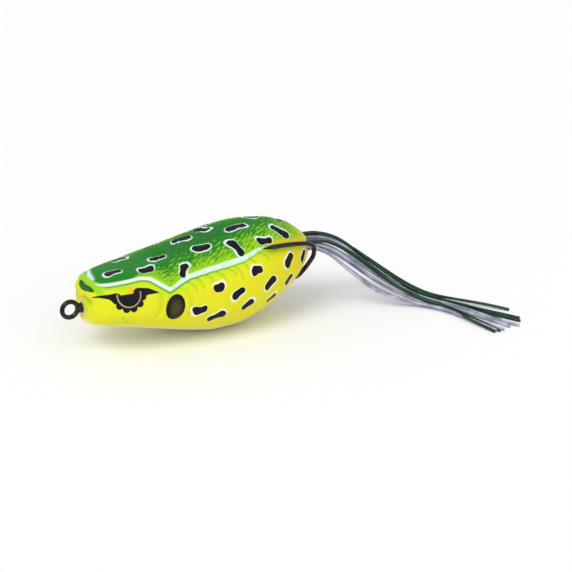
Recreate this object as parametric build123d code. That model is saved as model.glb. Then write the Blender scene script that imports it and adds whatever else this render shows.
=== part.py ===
from build123d import *
import math
import os

# Hollow-body topwater frog lure with a double hook that hugs the rump and two silicone skirt legs.
# Millimetres. The origin is the centre of the line-tie eye; +X runs from the nose to the tail,
# the left flank is on -Y and +Z is up. The lure rests on its belly at FLOOR_Z.

# ---- soft hollow body ------------------------------------------------------------------------
WALL = 1.2                  # skin thickness
NOSE_WALL = 2.3             # thicker skin round the eye of the hook
RUMP_WALL = 2.3             # and round the holes at the rump
FLOOR_Z = -10.3             # flat under the keel, on which the lure rests
KEEL_Z = FLOOR_Z - 0.16     # the keel's line before that flat is cut

# distance from the eye, back height, belly height, half width, height of the widest line
STATIONS = [
    (2.9, 3.2, -2.9, 3.2, 0.2),
    (3.7, 5.2, -3.9, 5.2, 0.2),
    (6.2, 6.9, -4.5, 7.6, 0.1),
    (11.2, 7.6, -5.4, 9.7, 0.0),
    (19.2, 8.6, -7.4, 11.6, -0.2),
    (27.2, 10.0, -9.4, 12.8, -0.2),
    (33.2, 11.3, KEEL_Z, 13.1, 0.0),
    (38.2, 12.4, KEEL_Z, 12.9, 0.6),
    (44.2, 13.1, -8.8, 12.0, 1.6),
    (50.2, 12.9, -6.2, 10.1, 3.0),
    (55.2, 11.4, -3.2, 7.5, 4.2),
    (58.4, 9.3, -0.2, 4.9, 5.0),
    (60.2, 7.4, 2.6, 2.4, 5.2),
    (60.7, 6.4, 3.9, 1.1, 5.2),
]
HEAD_X = 11.2               # up to here the head is at its squarest
RUMP_X = 60.7
HEAD_SQUARENESS = 2.9       # superellipse exponent over the head's flat top
RUMP_SQUARENESS = 2.1       # and at the rump, nearly an ellipse
BELLY_SQUARENESS = 1.95     # exponent below the widest line, a shallow keel
RIM_POINTS = 32             # points that carry one section's outline
SECTION_X = [3.2, 3.7, 4.4, 5.2, 6.2, 7.6, 9.2, 11.2, 13.6, 16.2, 19.2, 22.4, 25.6, 28.8, 31.6, 34.4,
             37.2, 40.0, 42.8, 45.4, 48.0, 50.4, 52.6, 54.6, 56.2, 57.4, 58.4, 59.2, 59.8, 60.3]

# ---- double hook, one brazed wire ------------------------------------------------------------
WIRE_R = 0.55
EYE_R = 1.85                # eye, measured to the middle of the wire
EYE_LAND_R = 1.35           # small cylindrical land where the line bears
SHANK_Y = 0.56              # the two shanks lie side by side
BRAZE_X = (1.75, 2.85)      # brazed lump that joins the shanks to the eye
BRAZE_R = 1.12
HOOK_BEND = [               # left wire after the shank; the right wire is its mirror image
    (55.0, -SHANK_Y, -3.0),
    (57.7, -1.7, -2.3),
    (59.2, -3.7, 0.9),
    (60.0, -5.6, 4.1),
    (59.5, -6.3, 6.8),
    (57.0, -7.4, 8.1),
    (53.4, -8.7, 9.0),
    (48.9, -9.7, 9.7),
    (46.5, -10.1, 9.9),
]
POINT_LENGTH = 3.3          # the wire's last run tapers to the point
POINT_TIP_R = 0.05
BARB_BACK = 2.6             # from the point's tip to the barb's root
BARB_LENGTH = 1.9
BARB_R = 0.32
BARB_LIFT = 20.0            # degrees between the barb and the wire

# ---- keel weight on the shanks ---------------------------------------------------------------
WEIGHT_X = 37.0
WEIGHT_LENGTH = 13.0
WEIGHT_R = 3.0
WEIGHT_DROP = 0.9           # its axis hangs this far under the shanks
WEIGHT_EDGE = 1.2

# ---- nose seal -------------------------------------------------------------------------------
SEAL_R = 1.9
SEAL_BORE_R = 1.15
SEAL_FLANGE_R = 2.7
SEAL_FLANGE = 0.7

# ---- openings at the rump --------------------------------------------------------------------
SLOT_HALF_WIDTH = 2.5       # the shanks leave through one slot
SLOT_BOTTOM = -4.6
SLOT_TOP = 0.4
LEG_Y = 2.8                 # each leg leaves through its own round hole
LEG_Z = 5.8
LEG_HOLE_R = 1.65
LEG_PIVOT_X = 59.0

# ---- silicone legs ---------------------------------------------------------------------------
STRAND_R = 0.35
STRAND_PITCH = 0.79         # centre to centre where strands lie side by side
STRANDS = range(-3, 4)      # seven strands in each leg, numbered across the leg
RING_R = STRAND_PITCH       # at the root six strands stand round the seventh
TIP_PITCH = 0.84
LAYER_RISE = 0.68           # the odd strands lie in the grooves between the even ones
BAND_X = (56.2, 57.4)
BAND_BORE_R = RING_R + STRAND_R + 0.03
BAND_R = 1.55
REST_Z = FLOOR_Z + STRAND_R + 0.01

# each leg's middle line: x, y, z, then how far it has changed from the round root to the flat
# waist, and from the waist to the open fan at the tips
LEFT_ROUTE = [
    (55.8, -LEG_Y, LEG_Z, 0.0, 0.0),
    (60.4, -LEG_Y, LEG_Z, 0.0, 0.0),
    (64.8, -3.6, 5.5, 0.1, 0.0),
    (69.6, -5.6, 2.6, 0.35, 0.0),
    (74.4, -8.4, -1.8, 0.6, 0.0),
    (79.2, -11.6, -6.2, 0.8, 0.0),
    (83.8, -15.6, -9.2, 1.0, 0.0),
    (87.3, -21.4, REST_Z, 1.0, 0.15),
    (90.0, -29.0, REST_Z, 0.6, 0.6),
    (92.8, -37.0, REST_Z, 0.0, 1.0),
]
RIGHT_ROUTE = [
    (55.8, LEG_Y, LEG_Z, 0.0, 0.0),
    (60.4, LEG_Y, LEG_Z, 0.0, 0.0),
    (65.2, 2.9, 5.8, 0.1, 0.0),
    (70.6, 2.4, 4.3, 0.35, 0.0),
    (75.6, 1.0, 0.5, 0.6, 0.0),
    (80.4, -1.8, -3.8, 0.8, 0.0),
    (84.9, -5.9, -7.9, 1.0, 0.0),
    (88.8, -11.7, REST_Z, 1.0, 0.05),
    (92.0, -18.8, REST_Z, 0.9, 0.25),
    (95.2, -26.0, REST_Z, 0.5, 0.65),
    (98.4, -33.0, REST_Z, 0.0, 1.0),
]


def slopes(xs, values):
    """Slopes that keep a cubic through the values free of overshoot."""
    steps = [b - a for a, b in zip(xs, xs[1:])]
    rises = [(b - a) / step for a, b, step in zip(values, values[1:], steps)]
    inner = []
    for left, right, before, after in zip(rises, rises[1:], steps, steps[1:]):
        if left * right <= 0:
            inner.append(0.0)
            continue
        weight_left = 2 * after + before
        weight_right = after + 2 * before
        inner.append((weight_left + weight_right) / (weight_left / left + weight_right / right))
    return [rises[0]] + inner + [rises[-1]]


def station_at(x):
    """Back, belly, half width and widest height at any x, as smooth curves through STATIONS."""
    xs = [station[0] for station in STATIONS]
    index = max(i for i in range(len(xs) - 1) if xs[i] <= x)
    step = xs[index + 1] - xs[index]
    t = (x - xs[index]) / step
    result = []
    for column in range(1, 5):
        values = [station[column] for station in STATIONS]
        gradients = slopes(xs, values)
        result.append((2 * t ** 3 - 3 * t ** 2 + 1) * values[index]
                      + (t ** 3 - 2 * t ** 2 + t) * step * gradients[index]
                      + (3 * t ** 2 - 2 * t ** 3) * values[index + 1]
                      + (t ** 3 - t ** 2) * step * gradients[index + 1])
    return result


def section(x, inset=0.0):
    """Closed outline of the body at x: a superellipse with its own back and belly height."""
    back, belly, half_width, widest = station_at(x)
    blend = min(max((x - HEAD_X) / (RUMP_X - HEAD_X), 0.0), 1.0)
    top_power = 2 / (HEAD_SQUARENESS + blend * (RUMP_SQUARENESS - HEAD_SQUARENESS))
    points = []
    for step in range(RIM_POINTS):
        angle = 2 * math.pi * step / RIM_POINTS
        across, up = math.cos(angle), math.sin(angle)
        power = top_power if up > 0 else 2 / BELLY_SQUARENESS
        height = (back - widest if up > 0 else widest - belly) - inset
        y = (half_width - inset) * math.copysign(abs(across) ** power, across)
        z = widest + height * math.copysign(abs(up) ** power, up)
        points.append((x, y, z))
    ends = [step / RIM_POINTS for step in range(RIM_POINTS + 1)]
    return Wire([Edge.make_spline(points, periodic=True, parameters=ends)])


def body_skin():
    nose_x = STATIONS[0][0]
    outer = Solid.make_loft([section(x) for x in (nose_x, *SECTION_X, RUMP_X)])
    hollow_x = [x for x in SECTION_X if nose_x + NOSE_WALL <= x <= RUMP_X - RUMP_WALL]
    cavity = Solid.make_loft([section(x, inset=WALL) for x in hollow_x])
    skin = outer - cavity
    skin -= Pos(0, 0, FLOOR_Z) * Box(RUMP_X, RUMP_X, 1, align=(Align.MIN, Align.CENTER, Align.MAX))
    skin -= bar_along_x(SEAL_R, nose_x - 1, nose_x + NOSE_WALL + 0.5, 0, 0)
    slot_box = Box(RUMP_X + 1 - WEIGHT_X - WEIGHT_LENGTH, 2 * SLOT_HALF_WIDTH, SLOT_TOP - SLOT_BOTTOM,
                   align=(Align.MIN, Align.CENTER, Align.MIN))
    slot_edges = slot_box.edges().filter_by(Axis.X)
    slot = fillet(slot_edges, 1.6)
    skin -= Pos(WEIGHT_X + WEIGHT_LENGTH, 0, SLOT_BOTTOM) * slot
    for side in (-1, 1):
        skin -= bar_along_x(LEG_HOLE_R, LEG_PIVOT_X - 1.6, RUMP_X + 1, side * LEG_Y, LEG_Z)
    return skin


def bar_along_x(radius, x_start, x_end, y, z):
    length = x_end - x_start
    return Pos(x_start, y, z) * Rot(0, 90, 0) * Cylinder(
        radius, length, align=(Align.CENTER, Align.CENTER, Align.MIN))


def rounded_path(points):
    """Straight runs joined by the largest tangent arcs that the two runs at each corner allow."""
    vectors = [Vector(*point) for point in points]
    radii = []
    for before, here, after in zip(vectors, vectors[1:], vectors[2:]):
        turn = (here - before).get_angle(after - here)
        shorter = min((here - before).length, (after - here).length)
        radii.append(0.45 * shorter / math.tan(math.radians(turn / 2)))
    return FilletPolyline(*vectors, radius=radii), radii


def tube(points, radius, name):
    """Round tube along a route, with its tightest radius and its volume against section x length."""
    path, radii = rounded_path(points)
    wire = Wire(path.edges())
    start = Plane(origin=wire @ 0, z_dir=wire % 0)
    solid = sweep(start * Circle(radius), path=wire)
    expected = math.pi * radius ** 2 * wire.length
    print(f"{name}: length {wire.length:.1f} mm, tightest radius {min(radii):.1f} mm, "
          f"volume / (section x length) {solid.volume / expected:.4f}")
    return solid


def mirrored(points):
    return [(x, -y, z) for x, y, z in points]


def cone_between(start, end, start_r, end_r):
    axis = Vector(*end) - Vector(*start)
    frame = Plane(origin=Vector(*start), z_dir=axis)
    return frame * Cone(start_r, end_r, axis.length, align=(Align.CENTER, Align.CENTER, Align.MIN))


def hook_side(side):
    """One wire of the double hook: shank, bend, barb and point, on the side of the given sign."""
    bend = HOOK_BEND if side < 0 else mirrored(HOOK_BEND)
    shank_start = ((BRAZE_X[0] + BRAZE_X[1]) / 2, side * SHANK_Y, 0)
    wire = tube([shank_start] + bend, WIRE_R, "hook wire")
    end = Vector(*bend[-1])
    forward = (end - Vector(*bend[-2])).normalized()
    point = end + forward * POINT_LENGTH
    wire += cone_between(end, point, WIRE_R, POINT_TIP_R)
    root = point - forward * BARB_BACK
    lift = math.radians(BARB_LIFT)
    barb_tip = root - forward * BARB_LENGTH * math.cos(lift) - Vector(0, 0, 1) * BARB_LENGTH * math.sin(lift)
    return wire + cone_between(root, barb_tip, BARB_R, POINT_TIP_R)


def double_hook():
    eye = Rot(90, 0, 0) * Torus(EYE_R, WIRE_R)
    eye -= Rot(90, 0, 0) * Cylinder(EYE_LAND_R, 2 * WIRE_R)
    braze = bar_along_x(BRAZE_R, *BRAZE_X, 0, 0)
    return eye + braze + hook_side(-1) + hook_side(1)


def keel_weight(hook):
    """Slug moulded round the two shanks, hanging under them."""
    shank_end = HOOK_BEND[0]
    slope = shank_end[2] / (shank_end[0] - BRAZE_X[0])
    centre = (WEIGHT_X, 0, slope * (WEIGHT_X - BRAZE_X[0]) - WEIGHT_DROP)
    slug = Cylinder(WEIGHT_R, WEIGHT_LENGTH)
    slug = fillet(slug.edges(), WEIGHT_EDGE)
    frame = Plane(origin=centre, z_dir=(1, 0, slope))
    return frame * slug - hook


def nose_seal():
    nose_x = STATIONS[0][0]
    flange_x = nose_x + NOSE_WALL
    seal = bar_along_x(SEAL_R, nose_x, flange_x + SEAL_FLANGE, 0, 0)
    seal += bar_along_x(SEAL_FLANGE_R, flange_x, flange_x + SEAL_FLANGE, 0, 0)
    return seal - bar_along_x(SEAL_BORE_R, nose_x - 1, flange_x + SEAL_FLANGE + 1, 0, -0.15)


def leg_band(side):
    """Short rubber band that holds the strands together just inside the leg's hole."""
    outside = bar_along_x(BAND_R, *BAND_X, side * LEG_Y, LEG_Z)
    return outside - bar_along_x(BAND_BORE_R, BAND_X[0] - 1, BAND_X[1] + 1, side * LEG_Y, LEG_Z)


def strand_place(number):
    """Where a strand sits: (across, up) at the round root and flat waist, and across in the fan."""
    if number % 2:
        angle = 90 - 30 * number
    else:
        angle = 270 + 15 * number
    ring = 0.0 if number == 0 else RING_R
    root = (ring * math.cos(math.radians(angle)), ring * math.sin(math.radians(angle)))
    waist = (number * STRAND_PITCH / 2, LAYER_RISE * (number % 2))
    fan = number * TIP_PITCH
    return root, waist, fan


def strand_route(route, number):
    root, waist, fan = strand_place(number)
    middle = [Vector(x, y, z) for x, y, z, _, _ in route]
    points = []
    for index, (_, _, _, flat, open_fan) in enumerate(route):
        ahead = middle[min(index + 1, len(route) - 1)]
        behind = middle[max(index - 1, 0)]
        along = (ahead - behind).normalized()
        side = Vector(0, 0, 1).cross(along).normalized()
        normal = along.cross(side)
        round_root = max(0.0, 1.0 - flat - open_fan)
        across = round_root * root[0] + flat * waist[0] + open_fan * fan
        up = round_root * root[1] + (1 - round_root - open_fan ** 2) * waist[1]
        point = middle[index] + side * across + normal * up
        points.append(tuple(point))
    return points


os.makedirs("parts", exist_ok=True)
hook = double_hook()
nodes = {
    "body_skin": body_skin(),
    "double_hook": hook,
    "keel_weight": keel_weight(hook),
    "nose_seal": nose_seal(),
}
for leg, side, route in (("left", -1, LEFT_ROUTE), ("right", 1, RIGHT_ROUTE)):
    nodes[f"{leg}_leg_band"] = leg_band(side)
    for number in STRANDS:
        name = f"{leg}_strand_{number + 4}"
        nodes[name] = tube(strand_route(route, number), STRAND_R, name)

for name, solid in nodes.items():
    export_step(solid, f"parts/{name}.step")
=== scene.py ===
"""Looks of a hollow-body topwater frog lure: painted soft skin, black-nickel hook, silicone skirt legs.

Every named size below is in millimetres, in the model's own frame: the origin is the centre of the
line-tie eye, +X runs from the nose to the tail, the left flank is on -Y and +Z is up.
"""

import math

import bmesh
import bpy
import numpy as np
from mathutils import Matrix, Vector


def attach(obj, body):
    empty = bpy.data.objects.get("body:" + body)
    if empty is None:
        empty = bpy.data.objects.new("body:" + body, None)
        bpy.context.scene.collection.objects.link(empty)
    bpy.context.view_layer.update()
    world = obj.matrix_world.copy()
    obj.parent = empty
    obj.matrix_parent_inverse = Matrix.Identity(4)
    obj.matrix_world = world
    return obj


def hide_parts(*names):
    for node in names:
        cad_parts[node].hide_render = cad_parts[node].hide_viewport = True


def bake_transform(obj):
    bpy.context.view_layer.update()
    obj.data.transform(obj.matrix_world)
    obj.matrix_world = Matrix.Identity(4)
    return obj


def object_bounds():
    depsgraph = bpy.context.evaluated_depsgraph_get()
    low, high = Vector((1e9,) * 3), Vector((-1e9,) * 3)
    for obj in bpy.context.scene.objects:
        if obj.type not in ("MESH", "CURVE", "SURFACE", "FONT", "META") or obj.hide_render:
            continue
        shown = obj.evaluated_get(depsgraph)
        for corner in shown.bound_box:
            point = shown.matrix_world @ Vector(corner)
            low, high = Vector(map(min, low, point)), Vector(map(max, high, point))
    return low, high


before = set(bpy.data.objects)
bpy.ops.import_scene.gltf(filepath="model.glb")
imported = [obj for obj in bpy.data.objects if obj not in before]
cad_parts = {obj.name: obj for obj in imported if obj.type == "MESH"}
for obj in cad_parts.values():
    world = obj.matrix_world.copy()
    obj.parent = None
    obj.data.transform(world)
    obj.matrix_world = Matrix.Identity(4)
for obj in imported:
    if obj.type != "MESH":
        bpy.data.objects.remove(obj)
CAD_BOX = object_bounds()
MM = 0.001

# ---- camera ----------------------------------------------------------------------------------
CAMERA_AZIMUTH = -29.0
CAMERA_ELEVATION = 21.5
CAMERA_AIM = (55.5, 0.0, -4.9)
CAMERA_DISTANCE = 432.3
CAMERA_LENS = 113.66
SENSOR_WIDTH = 36.0

# ---- body: the same stations and formula as the CAD skin -------------------------------------
FLOOR_Z = -10.3
KEEL_Z = FLOOR_Z - 0.16     # the keel's line before the flat that the lure rests on is cut
STATIONS = [                # x, back, belly, half width, height of the widest line
    (2.9, 3.2, -2.9, 3.2, 0.2),
    (3.7, 5.2, -3.9, 5.2, 0.2),
    (6.2, 6.9, -4.5, 7.6, 0.1),
    (11.2, 7.6, -5.4, 9.7, 0.0),
    (19.2, 8.6, -7.4, 11.6, -0.2),
    (27.2, 10.0, -9.4, 12.8, -0.2),
    (33.2, 11.3, KEEL_Z, 13.1, 0.0),
    (38.2, 12.4, KEEL_Z, 12.9, 0.6),
    (44.2, 13.1, -8.8, 12.0, 1.6),
    (50.2, 12.9, -6.2, 10.1, 3.0),
    (55.2, 11.4, -3.2, 7.5, 4.2),
    (58.4, 9.3, -0.2, 4.9, 5.0),
    (60.2, 7.4, 2.6, 2.4, 5.2),
    (60.7, 6.4, 3.9, 1.1, 5.2),
]
HEAD_X = 11.2
RUMP_X = 60.7
HEAD_SQUARENESS = 2.9
RUMP_SQUARENESS = 2.1
BELLY_SQUARENESS = 1.95
WALL = 1.2
END_WALL = 2.3              # thickness at the nose and the rump
RING_STEP = 0.25            # distance between the outer skin's rings
TOP_CELLS = 78              # its mesh cells from the ridge to the widest line
BELLY_CELLS = 66            # and from the widest line to the keel
CAP_STEP = 0.3
INNER_STEP = 1.2            # the same for the plain inner wall
INNER_TOP_CELLS = 18
INNER_BELLY_CELLS = 16
OUTER_NEARNESS = 0.985      # 1 on the outer side, and less than this on the inner wall
SKIN_SHARP = 50             # degrees: shading breaks where faces meet at more than this

# ---- openings --------------------------------------------------------------------------------
NOSE_BORE_R = 1.9
NOSE_BORE_X = (1.9, 5.7)
SLOT_HALF_WIDTH = 2.5
SLOT_Z = (-4.6, 0.4)
SLOT_X = (50.0, 62.0)
SLOT_CORNER = 1.6
CORNER_STEPS = 8
LEG_Y = 2.8
LEG_Z = 5.8
LEG_HOLE_R = 1.65
LEG_HOLE_X = (57.4, 62.0)
NOSE_END_X = 10.0           # the nose bore opens in front of this
RUMP_START_X = 50.0         # and the leg holes behind this
RIM_FADE = (0.15, 0.8)      # the relief fades out between these distances from a hole

# ---- skirt legs: the routes are those of the CAD strands -------------------------------------
STRAND_R = 0.35
STRAND_PITCH = 0.79
STRANDS = range(-3, 4)
RING_R = STRAND_PITCH
TIP_PITCH = 0.84
LAYER_RISE = 0.68
REST_Z = FLOOR_Z + STRAND_R + 0.01
STRAND_SIDES = 14
STRAND_SHARP = 60           # degrees
CUT_CHAMFER = 0.35          # at a strand's cut ends, as a fraction of its radius
# x, y, z, then the change from the round root to the flat waist, and from there to the open fan
LEFT_ROUTE = [
    (55.8, -LEG_Y, LEG_Z, 0.0, 0.0),
    (60.4, -LEG_Y, LEG_Z, 0.0, 0.0),
    (64.8, -3.6, 5.5, 0.1, 0.0),
    (69.6, -5.6, 2.6, 0.35, 0.0),
    (74.4, -8.4, -1.8, 0.6, 0.0),
    (79.2, -11.6, -6.2, 0.8, 0.0),
    (83.8, -15.6, -9.2, 1.0, 0.0),
    (87.3, -21.4, REST_Z, 1.0, 0.15),
    (90.0, -29.0, REST_Z, 0.6, 0.6),
    (92.8, -37.0, REST_Z, 0.0, 1.0),
]
RIGHT_ROUTE = [
    (55.8, LEG_Y, LEG_Z, 0.0, 0.0),
    (60.4, LEG_Y, LEG_Z, 0.0, 0.0),
    (65.2, 2.9, 5.8, 0.1, 0.0),
    (70.6, 2.4, 4.3, 0.35, 0.0),
    (75.6, 1.0, 0.5, 0.6, 0.0),
    (80.4, -1.8, -3.8, 0.8, 0.0),
    (84.9, -5.9, -7.9, 1.0, 0.0),
    (88.8, -11.7, REST_Z, 1.0, 0.05),
    (92.0, -18.8, REST_Z, 0.9, 0.25),
    (95.2, -26.0, REST_Z, 0.5, 0.65),
    (98.4, -33.0, REST_Z, 0.0, 1.0),
]
GREEN_STRANDS = {"left": (3, 5), "right": (3, 4, 5, 6, 7)}
# how strands 1 to 7 stray from their places in the bundle: the sag in the hanging stretch, the
# sway to the right side there, the sideways shift at the tip and the extra length
LEFT_LAY = [
    (4.6, -0.6, 0.6, -0.5), (3.3, 0.0, 0.2, -0.1), (0.1, 1.0, -2.0, -0.3), (1.7, 0.2, -0.4, 0.5),
    (0.7, 0.8, -2.4, 0.2), (2.1, 0.3, 0.3, 0.2), (1.5, 0.4, 0.5, -0.8),
]
RIGHT_LAY = [
    (1.9, -0.1, -1.8, 2.0), (2.1, 0.3, -1.0, 3.4), (2.1, 0.1, -1.6, -1.6), (2.0, 0.3, -0.2, 2.2),
    (1.4, 0.1, -0.8, -0.4), (2.1, 0.5, -0.4, 1.2), (1.1, 0.4, 2.6, -3.4),
]
# places and reaches are fractions of the route
LEGS = (("left", -1, LEFT_ROUTE, LEFT_LAY, 0.40), ("right", 1, RIGHT_ROUTE, RIGHT_LAY, 0.46))
HANG_REACH = 0.20           # of the hanging stretch, whose place ends each row above
WAIST_PLACE = 0.76
WAIST_REACH = 0.15
WAIST_PULL = 1.3            # how far the two legs close in on each other at the waist
TIP_PLACE = 0.7
TIP_REACH = 0.3

# ---- paint, placed by (x, turn): turn is 0 on the ridge, 90 at the widest line, 180 at the keel
BACK_EDGE = [               # lower edge of the green back, from the middle of the nose to the rump
    (4.7, -6), (5.0, 18), (5.5, 29), (7.4, 33), (11.5, 33), (14.4, 32), (16.3, 37), (18.2, 53),
    (19.9, 64), (21.2, 60), (22.7, 55), (25.0, 50), (30.0, 49), (34.0, 50), (38.5, 52), (43.0, 48),
    (48.0, 50), (60.5, 60),
]
EDGE_LINE = [               # x and half width of the pale line that follows the edge
    (5.0, 0.0), (6.0, 0.28), (14.0, 0.34), (20.0, 0.38), (27.0, 0.48), (36.0, 0.58), (42.0, 0.42),
    (46.5, 0.0),
]
FAR = 9.0                   # the distance given to all that lies too far from a mark to matter
STROKE_MARGIN = 4.0         # and what counts as far from a stroke
MARK_DEPTH = 3.0            # how far the skin may curve away from a mark's own plane
NUDGE_X = 0.2               # steps over the skin, mm and degrees, that give its directions
NUDGE_TURN = 2
# x, turn, length, width, tilt in degrees (positive rises towards the tail)
BACK_SPOTS = [
    (10.1, 6, 4.0, 1.9, 4),
    (14.2, -16, 3.2, 1.8, 2),
    (16.7, 18, 3.4, 2.2, -3),
    (21.3, 4, 3.8, 1.8, -10),
    (24.3, 40, 3.6, 1.7, 56),
    (29.3, -8, 4.5, 2.4, 14),
    (31.2, 14, 4.2, 2.6, -18),
    (35.3, -12, 4.4, 2.2, 60),
    (37.8, 35, 5.0, 1.8, -80),
    (41.3, 6, 5.1, 2.3, -6),
    (45.5, 39, 3.8, 1.7, -10),
    (47.4, -13, 3.4, 2.0, 30),
    (55.0, -9, 4.2, 1.8, -20),
    (50.9, 30, 4.9, 2.0, -56),
]
FLANK_SPOTS = [
    (26.5, 93, 3.4, 1.9, 7),
    (31.1, 74, 2.7, 2.1, 0),
    (30.6, 110, 4.5, 1.8, 20),
    (36.2, 87, 3.7, 1.8, 20),
    (38.6, 105, 3.6, 1.6, 25),
    (41.6, 72, 2.9, 2.1, -8),
    (44.9, 90, 4.0, 1.8, 26),
    (45.8, 117, 3.0, 1.5, 10),
    (51.3, 78, 3.8, 2.0, 37),
    (51.3, 107, 3.2, 1.7, 30),
    (56.6, 88, 3.0, 1.7, 40),
]
BOTH_SIDES_TURN = 22        # spots nearer the ridge than this lie on one side only
BACK_HALO = 0.32            # width of the pale halo round a spot
FLANK_HALO = 0.27
EYE = (10.7, 62)
EYE_DEPTH = 2.5
EYE_RING_R = 2.6
EYE_RING_HALF = 0.15        # its half width
EYE_RING_TOP = 0.5          # heights above the eye's middle
LID_EDGE = 0.15
PUPIL_R = 2.1
EAR = (20.7, 88)
EAR_HALF = (2.2, 3.15)
EAR_LEAN = 14.0
# strokes: x, turn, half width
MOUTH = [(3.2, -44, 0.6), (3.35, -16, 0.72), (3.6, 10, 0.7), (3.85, 24, 0.5), (4.2, 36, 0.10)]
UPPER_LIP = [(3.85, -30, 0.5), (4.2, -4, 0.5), (4.5, 14, 0.5), (5.0, 30, 0.55), (5.2, 44, 0.5)]
LOWER_LIP = [(2.98, -24, 0.6), (3.15, 16, 0.6), (3.5, 40, 0.45), (3.9, 50, 0.2)]
RECESS = [(2.92, 30, 0.35), (3.0, 52, 0.35), (3.25, 66, 0.2)]
EYE_SPIKES = [
    [(3.9, 54, 0.10), (5.4, 59, 0.34), (6.9, 62, 0.62), (8.0, 66, 1.15)],
    [(12.8, 61, 1.15), (14.9, 60, 0.78), (17.4, 65, 0.06)],
]
EYE_MASK_R = 3.3
EYE_LOBE_ANGLES = (-166, -138, -106, -76, -44, -14)
EYE_LOBE_REACH = 3.12
EYE_LOBE_R = 0.82
BROW_GLINT = [(6.8, -24, 0.3), (5.7, -8, 0.5), (5.3, 6, 0.3)]
CHEEK_FOLDS = [
    [(17.9, 70, 0.3), (17.7, 84, 0.3), (16.4, 98, 0.2)],
    [(21.2, 63, 0.2), (23.6, 70, 0.25), (24.6, 84, 0.25), (24.0, 100, 0.2)],
    [(9.2, 100, 0.2), (10.0, 116, 0.3), (12.0, 130, 0.2)],
]
# x, then how far the lime of the back reaches up from its edge
LIME_WIDTH = [(13, 0.8), (17, 4.0), (22, 6.0), (32, 6.5), (44, 8.0), (52, 11.0), (58, 14.0)]
SCALE_SLANT = 32.0          # degrees between a scale's stroke and the body's length
SCALE_WIDTH = 0.92
SCALE_LENGTH = 2.3
SCALE_HEIGHT = 0.16
BACK_R = 11.5               # mean radius of the back, which turns degrees into a run
RIB_START_X = 24.0
RIB_PITCH = 2.35
RIBS = 9
RIB_TOP = (2.0, 0.12)       # degrees below the edge, half width
RIB_REST = [(0.8, 7, 0.12), (1.7, 13, 0.06), (2.2, 21, 0.0)]   # run, degrees below the edge, half width

# ---- moulded relief: how far each feature stands out or goes in --------------------------------
BACK_STEP = 0.22
EDGE_GROOVE = 0.24
NOSE_DISH = 0.35
UPPER_LIP_RISE = 0.40
MOUTH_DEPTH = 0.60
LOWER_LIP_RISE = 0.42
RECESS_DEPTH = 0.35
EYEBALL_RISE = 0.55
BROW_RISE = 0.42
EAR_RISE = 0.20
FOLD_DEPTH = 0.26

# ---- colours, linear ---------------------------------------------------------------------------
DEEP_GREEN = (0.006, 0.20, 0.010)
RIDGE_GREEN = (0.004, 0.13, 0.012)
LIME = (0.30, 0.60, 0.004)
YELLOW = (0.72, 0.70, 0.012)
LIME_YELLOW = (0.46, 0.70, 0.006)
RUMP_YELLOW = (0.70, 0.70, 0.015)
ORANGE_YELLOW = (0.86, 0.62, 0.015)
CREAM = (0.86, 0.84, 0.50)
MINT = (0.66, 0.86, 0.74)
HALO_CREAM = (0.84, 0.87, 0.62)
PAINT_BLACK = (0.002, 0.0015, 0.004)
# painted shadow: the dark green laid in the groove under the back's overhanging edge
EDGE_SHADOW_GREEN = (0.03, 0.22, 0.04)
GOLD = (0.42, 0.34, 0.17)
EAR_BROWN = (0.055, 0.045, 0.012)
MOUTH_GREEN = (0.008, 0.13, 0.012)
LID_ORANGE = (0.86, 0.42, 0.02)
# painted shade: the darker lime laid in the flank's ribs and cheek folds
RIB_SHADOW = (0.26, 0.46, 0.008)
# two shades of one material, then its glow, roughness or metal where it has one
GREEN_SILICONE = ((0.003, 0.060, 0.022), (0.002, 0.014, 0.009), 0.05)
PALE_SILICONE = ((0.47, 0.48, 0.60), (0.20, 0.21, 0.29), 0.2)
NICKEL = ((0.020, 0.017, 0.020), (0.060, 0.052, 0.048))
WEIGHT_BRASS = ((0.42, 0.34, 0.20), (0.30, 0.25, 0.16), 0.45, 1.0)
SEAL_RUBBER = ((0.72, 0.68, 0.40), (0.62, 0.60, 0.36), 0.5)
BAND_RUBBER = ((0.03, 0.03, 0.03), (0.02, 0.02, 0.02), 0.55)
FLOOR_WHITE = ((0.90, 0.90, 0.90), (0.92, 0.92, 0.92))

# ---- light and floor ---------------------------------------------------------------------------
SKY = 0.66
LAMPS = (                   # strength, spread in degrees, direction towards the light
    ("key", 1.25, 34, (-1.0, -0.45, 1.35)),
    ("fill", 0.7, 80, (-0.1, -1.0, 0.8)),
)
FLOOR_HALF = 3.0            # metres


def mm(point):
    """A point given in millimetres, in the metres of the scene."""
    return Vector(point) * MM


# ---- camera ----------------------------------------------------------------------------------
def add_camera():
    azimuth, elevation = math.radians(CAMERA_AZIMUTH), math.radians(CAMERA_ELEVATION)
    outward = Vector((math.sin(azimuth) * math.cos(elevation),
                      -math.cos(azimuth) * math.cos(elevation), math.sin(elevation)))
    data = bpy.data.cameras.new("camera")
    data.lens = CAMERA_LENS
    data.sensor_width = SENSOR_WIDTH
    data.clip_start = 0.01
    camera = bpy.data.objects.new("camera", data)
    camera.location = mm(CAMERA_AIM) + outward * CAMERA_DISTANCE * MM
    camera.rotation_euler = (math.pi / 2 - elevation, 0.0, azimuth)
    bpy.context.scene.collection.objects.link(camera)
    bpy.context.scene.camera = camera


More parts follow.
